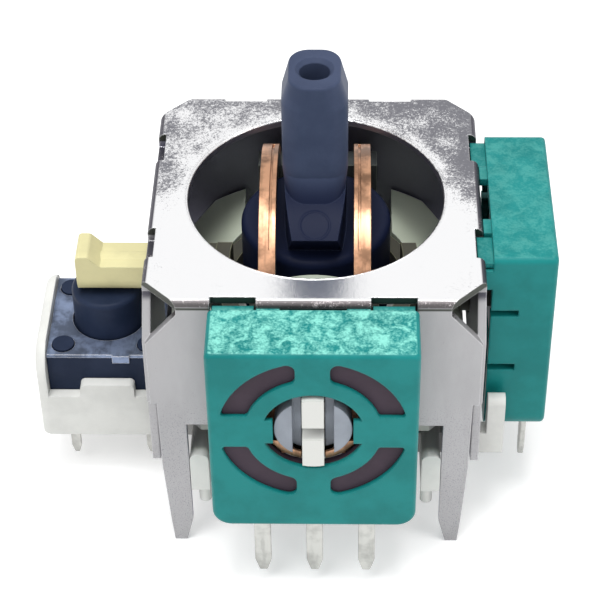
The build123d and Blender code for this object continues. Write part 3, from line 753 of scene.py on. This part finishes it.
class STICK_OT_mouldings(Operator):
    """Finish the moulded pieces."""

    bl_idname = "stick.mouldings"
    bl_label = "Mouldings"

    def execute(self, context):
        props = context.scene.stick_mouldings
        self.switch_and_stick(props)
        self.housings(props)
        self.arms(props)
        self.base_and_disc(props)
        return {"FINISHED"}

    def switch_and_stick(self, props):
        """The stick, slate with painted shade on its hub and tongue, and the navy switch."""
        # Painted shade on the stick below ROOT_SHADE_TOP
        steps = [tinted("Z", ROOT_SHADE_TOP, props.root), marked(TONGUE_MARK, TONGUE_MARK_R)]
        slate = moulding_finish("stick_slate", props.slate, vary=0.08, gloss=0.08, steps=steps)
        paint(["stick"], slate)
        navy = moulding_finish("switch_navy", props.navy, rough=0.34, gloss=0.08)
        paint(["switch_case", "switch_plunger"], navy)

    def housings(self, props):
        """The green housings, their rotors and their wafers."""
        steps = [sheened(props.top_sheen), marked(HOUSING_MARK, HOUSING_MARK_R)]
        green = moulding_finish(
            "sensor_green", props.green, rough=0.34, radius=0.16 * MM, gloss=0.20, steps=steps
        )
        paint(["front_housing", "right_housing"], green)
        paint(["front_rotor", "right_rotor"], moulding_finish("rotor_grey", props.rotor, rough=0.35))
        paint(["front_wafer", "right_wafer"], moulding_finish("wafer_brown", props.wafer, rough=0.55))

    def arms(self, props):
        """The cream lower arm, with painted shade beyond its lever, and the upper arm, with painted shade
        behind its white fork and deeper behind its front.
        """
        steps = [shaded("X", LEVER_END, props.interior_shade)]
        paint(["lower_arm"], moulding_finish("arm_cream", props.cream, rough=0.42, vary=0.06, steps=steps))
        # The upper arm is painted shade behind its white fork, and deeper painted shade behind its front
        steps = [tinted("Y", FORK_BACK, props.white), shaded("Y", ARCH_FRONT, props.interior_shade)]
        paint(["upper_arm"], moulding_finish("arch_white", props.inner, rough=0.42, vary=0.05, steps=steps))

    def base_and_disc(self, props):
        """The white base and return disc."""
        steps = [decked(props.deck, props.shade, props.interior_shade)]
        paint(["base"], moulding_finish("base_white", props.white, rough=0.42, vary=0.05, steps=steps))
        paint(["return_disc"], moulding_finish("disc_white", props.white, rough=0.42, vary=0.05))


class STICK_OT_metals(Operator):
    """Finish the small metal pieces."""

    bl_idname = "stick.metals"
    bl_label = "Metals"

    def execute(self, context):
        props = context.scene.stick_metals
        copper = metal_finish("copper_strip", props.copper, rough=0.30, stretch=ALONG_RAIL, vary=0.4)
        paint(["rail_left", "rail_right", "front_brush", "right_brush"], copper)
        paint(["pivot_pin"], metal_finish("steel_wire", props.tin, rough=0.2))
        cover = metal_finish(
            "switch_cover",
            props.cover,
            rough=0.40,
            stretch=ALONG_COVER,
            vary=0.4,
            rim=props.silver,
            metallic=0.75,
        )
        paint(["switch_cover"], cover)
        return {"FINISHED"}


def recorded_joint(name):
    """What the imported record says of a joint."""
    return next(joint for joint in frame["record"]["behaviour"]["joints"] if joint["name"] == name)


def merged_copy(node, name):
    """A CAD node's mesh with its loose triangles joined."""
    work = bmesh.new()
    work.from_mesh(frame["nodes"][node].data)
    bmesh.ops.remove_doubles(work, verts=work.verts[:], dist=MERGE_WITHIN)
    mesh = bpy.data.meshes.new(name)
    work.to_mesh(mesh)
    work.free()
    return mesh


class STICK_OT_springs(Operator):
    """Copy the return spring and the snap dome in spring wire, in place of their CAD nodes, where there is
    room for the joint's travel.
    """

    bl_idname = "stick.springs"
    bl_label = "Springs"

    def execute(self, context):
        wire = metal_finish("spring_wire", context.scene.stick_metals.tin, rough=0.2)
        for name, joint in SPRINGS.items():
            said = recorded_joint(joint)
            travel = said["range_m"][1]
            node = said["deforming_nodes"][0]["node"]
            fixed_z = said["deforming_nodes"][0]["fixed_end_z_m"]
            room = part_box(node)[1][2] - fixed_z
            require(room > travel, "no room for the travel of " + node)
            mesh = merged_copy(node, name)
            mesh.materials.clear()
            mesh.materials.append(wire)
            piece = bpy.data.objects.new(name, mesh)
            context.scene.collection.objects.link(piece)
            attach(piece, "module")
            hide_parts(node)
            1.0 - travel / room
            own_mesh(piece)
        return {"FINISHED"}


def pin_mesh(width, thick, top, tip, along_x):
    """One stamped pin about the origin: a flat strip with a tapered end and softened edges."""
    half, narrow, deep = width / 2, width * TIP_HALF, thick / 2
    waist = tip + width * TIP_LENGTH
    outline = [(-half, top), (-half, waist), (-narrow, tip), (narrow, tip), (half, waist), (half, top)]
    work = bmesh.new()
    front = [work.verts.new((x, -deep, z) if along_x else (deep, x, z)) for x, z in outline]
    grown = bmesh.ops.extrude_face_region(work, geom=[work.faces.new(front)])
    verts = [item for item in grown["geom"] if isinstance(item, bmesh.types.BMVert)]
    shift = (0.0, thick, 0.0) if along_x else (-thick, 0.0, 0.0)
    bmesh.ops.translate(work, vec=shift, verts=verts)
    bmesh.ops.bevel(
        work,
        geom=work.edges[:],
        offset=PIN_SOFTENING * thick,
        segments=PIN_SEGMENTS,
        affect="EDGES",
        profile=0.5,
    )
    bmesh.ops.recalc_face_normals(work, faces=work.faces[:])
    mesh = bpy.data.meshes.new("pin")
    work.to_mesh(mesh)
    work.free()
    return mesh


def pin_recipe():
    """Pins set out in a row or in a block."""
    counts = [("Count", "Int"), ("Rows", "Int")]
    places = [("First", "Vector"), ("Step", "Vector"), ("Row Step", "Vector")]
    made = Recipe("pin_rows", counts + places)
    inputs = {"Count": made.given("Count"), "Offset": made.given("Step")}
    inputs["Start Location"] = made.given("First")
    row = made.node("MeshLine", {"mode": "OFFSET"}, inputs)
    pins = made.node("InstanceOnPoints", {}, {"Points": row, "Instance": made.given("Geometry")})
    inputs = {"Count": made.given("Rows"), "Offset": made.given("Row Step")}
    rows = made.node("MeshLine", {"mode": "OFFSET"}, inputs)
    made.close(made.node("InstanceOnPoints", {}, {"Points": rows, "Instance": pins}))
    return made


class STICK_OT_pins(Operator):
    """Set out the solder pins of the sensors and of the switch."""

    bl_idname = "stick.pins"
    bl_label = "Pins"

    def execute(self, context):
        props = context.scene.stick_metals
        tin = metal_finish("tinned_pin", props.tin, rough=0.34, stretch=ALONG_PIN, vary=0.16)
        made = pin_recipe()
        for node, along_x, width, thick, count, rows in PIN_BLOCKS:
            low, high = [Vector(corner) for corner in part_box(node)]
            require(high.z > low.z, "no room for the pins of " + node)
            pin = Vector((width, thick, 0.0)) if along_x else Vector((thick, width, 0.0))
            spread = high - low - pin
            line, depth = Vector((spread.x, 0.0, 0.0)), Vector((0.0, spread.y, 0.0))
            if not along_x:
                line, depth = depth, line
            first = low + pin / 2
            values = {
                "Count": count,
                "Step": line / (count - 1),
                "Rows": rows,
                "Row Step": depth,
                "First": (first.x, first.y, 0.0),
                "Material": tin,
            }
            mesh = pin_mesh(width, thick, high.z, low.z, along_x)
            piece = made.bake(node.replace("terminals", "pins"), mesh, values)
            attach(piece, "module")
            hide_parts(node)
        return {"FINISHED"}


def studio_camera(props):
    """Set up the camera at the photograph's view."""
    data = bpy.data.cameras.new("camera")
    data.lens = props.lens
    data.sensor_width = SENSOR_WIDTH
    data.clip_start = NEAREST
    data.clip_end = FURTHEST
    camera = bpy.data.objects.new("camera", data)
    bpy.context.scene.collection.objects.link(camera)
    turn = Matrix.Rotation(props.yaw, 4, "Z") @ Matrix.Rotation(props.pitch, 4, "X")
    turn = turn @ Matrix.Rotation(props.roll, 4, "Z")
    camera.matrix_world = Matrix.Translation(Vector(props.spot)) @ turn
    bpy.context.scene.camera = camera


def studio_lamp(name, spot, size, watts):
    """Set up a soft square lamp that points at the middle of the module."""
    data = bpy.data.lights.new(name, "AREA")
    data.shape = "SQUARE"
    data.size = size
    data.energy = watts
    lamp = bpy.data.objects.new(name, data)
    bpy.context.scene.collection.objects.link(lamp)
    away = Vector(spot) - Vector(LAMP_AIM)
    lamp.matrix_world = Matrix.Translation(Vector(spot)) @ away.to_track_quat("Z", "Y").to_matrix().to_4x4()


def seen_rays(made):
    """Above 0 for rays from the camera, from gloss and through glass, 0 for the rest."""
    camera = made.node("LightPath", output="Is Camera Ray")
    gloss = made.node("LightPath", output="Is Glossy Ray")
    through = made.node("LightPath", output="Is Transmission Ray")
    return camera + gloss + through


def floor_finish():
    """A pale floor that shows white to the camera and keeps the object's shadow."""
    made = Finish("floor_white")
    seen = seen_rays(made)
    inputs = {"Base Color": opaque(FLOOR_COLOUR), "Roughness": FLOOR_ROUGH, "Specular IOR Level": 0.0}
    matt = made.node("BsdfPrincipled", {}, inputs)
    glow = made.node("Emission", {}, {"Color": opaque(WHITE), "Strength": seen * FLOOR_GLOW})
    both = made.node("AddShader", {}, {0: matt, 1: glow})
    made.node("OutputMaterial", {}, {"Surface": both})
    return made.material


def studio_floor():
    """Lay the floor under the ends of the legs."""
    mesh = bpy.data.meshes.new("floor")
    sides = [(-1, -1), (1, -1), (1, 1), (-1, 1)]
    corners = [(x * FLOOR_HALF, y * FLOOR_HALF, LEG_ENDS) for x, y in sides]
    mesh.from_pydata(corners, [], [(0, 1, 2, 3)])
    floor = bpy.data.objects.new("floor", mesh)
    bpy.context.scene.collection.objects.link(floor)
    mesh.materials.append(floor_finish())


def studio_world():
    """White to the camera and in reflections, plain light for the rest."""
    world = bpy.data.worlds.new("studio")
    world.use_nodes = True
    made = Board(world.node_tree)
    seen = seen_rays(made).above(0.0, 1.0)
    level = PLAIN_LIGHT + seen * (1.0 - PLAIN_LIGHT)
    back = made.node("Background", {}, {"Color": opaque(WHITE), "Strength": level})
    made.node("OutputWorld", {}, {"Surface": back})
    bpy.context.scene.world = world


class STICK_OT_studio(Operator):
    """Set up the camera, the floor, the lamps and the world."""

    bl_idname = "stick.studio"
    bl_label = "Studio"

    def execute(self, context):
        props = context.scene.stick_studio
        studio_camera(props)
        studio_floor()
        for name, spot, size, watts in LAMPS:
            studio_lamp(name, spot, size, watts * props.lamp)
        studio_world()
        context.scene.view_settings.view_transform = "Standard"
        return {"FINISHED"}


class STICK_PT_panel(Panel):
    """The module's pieces and its studio."""

    bl_idname = "STICK_PT_panel"
    bl_label = "Stick module"
    bl_space_type = "VIEW_3D"
    bl_region_type = "UI"
    bl_category = "Stick module"

    def draw(self, context):
        for step in STEPS:
            self.layout.operator(step)
        for name in GROUPS:
            group = getattr(context.scene, name)
            box = self.layout.box()
            for key in group.__annotations__:
                box.prop(group, key)


STEPS = ["stick.studio", "stick.can", "stick.mouldings", "stick.metals", "stick.springs", "stick.pins"]
GROUPS = {
    "stick_can": CanProps,
    "stick_mouldings": MouldingProps,
    "stick_metals": MetalProps,
    "stick_studio": StudioProps,
}
CLASSES = [
    CanProps,
    MouldingProps,
    MetalProps,
    StudioProps,
    STICK_OT_can,
    STICK_OT_mouldings,
    STICK_OT_metals,
    STICK_OT_springs,
    STICK_OT_pins,
    STICK_OT_studio,
    STICK_PT_panel,
]


def register():
    for item in CLASSES:
        bpy.utils.register_class(item)
    for name, group in GROUPS.items():
        setattr(bpy.types.Scene, name, PointerProperty(type=group))


def unregister():
    for name in GROUPS:
        delattr(bpy.types.Scene, name)
    for item in reversed(CLASSES):
        bpy.utils.unregister_class(item)


def main():
    """Build everything in order."""
    register()
    for step in STEPS:
        group, name = step.split(".")
        getattr(getattr(bpy.ops, group), name)()


if __name__ == "__main__":
    main()
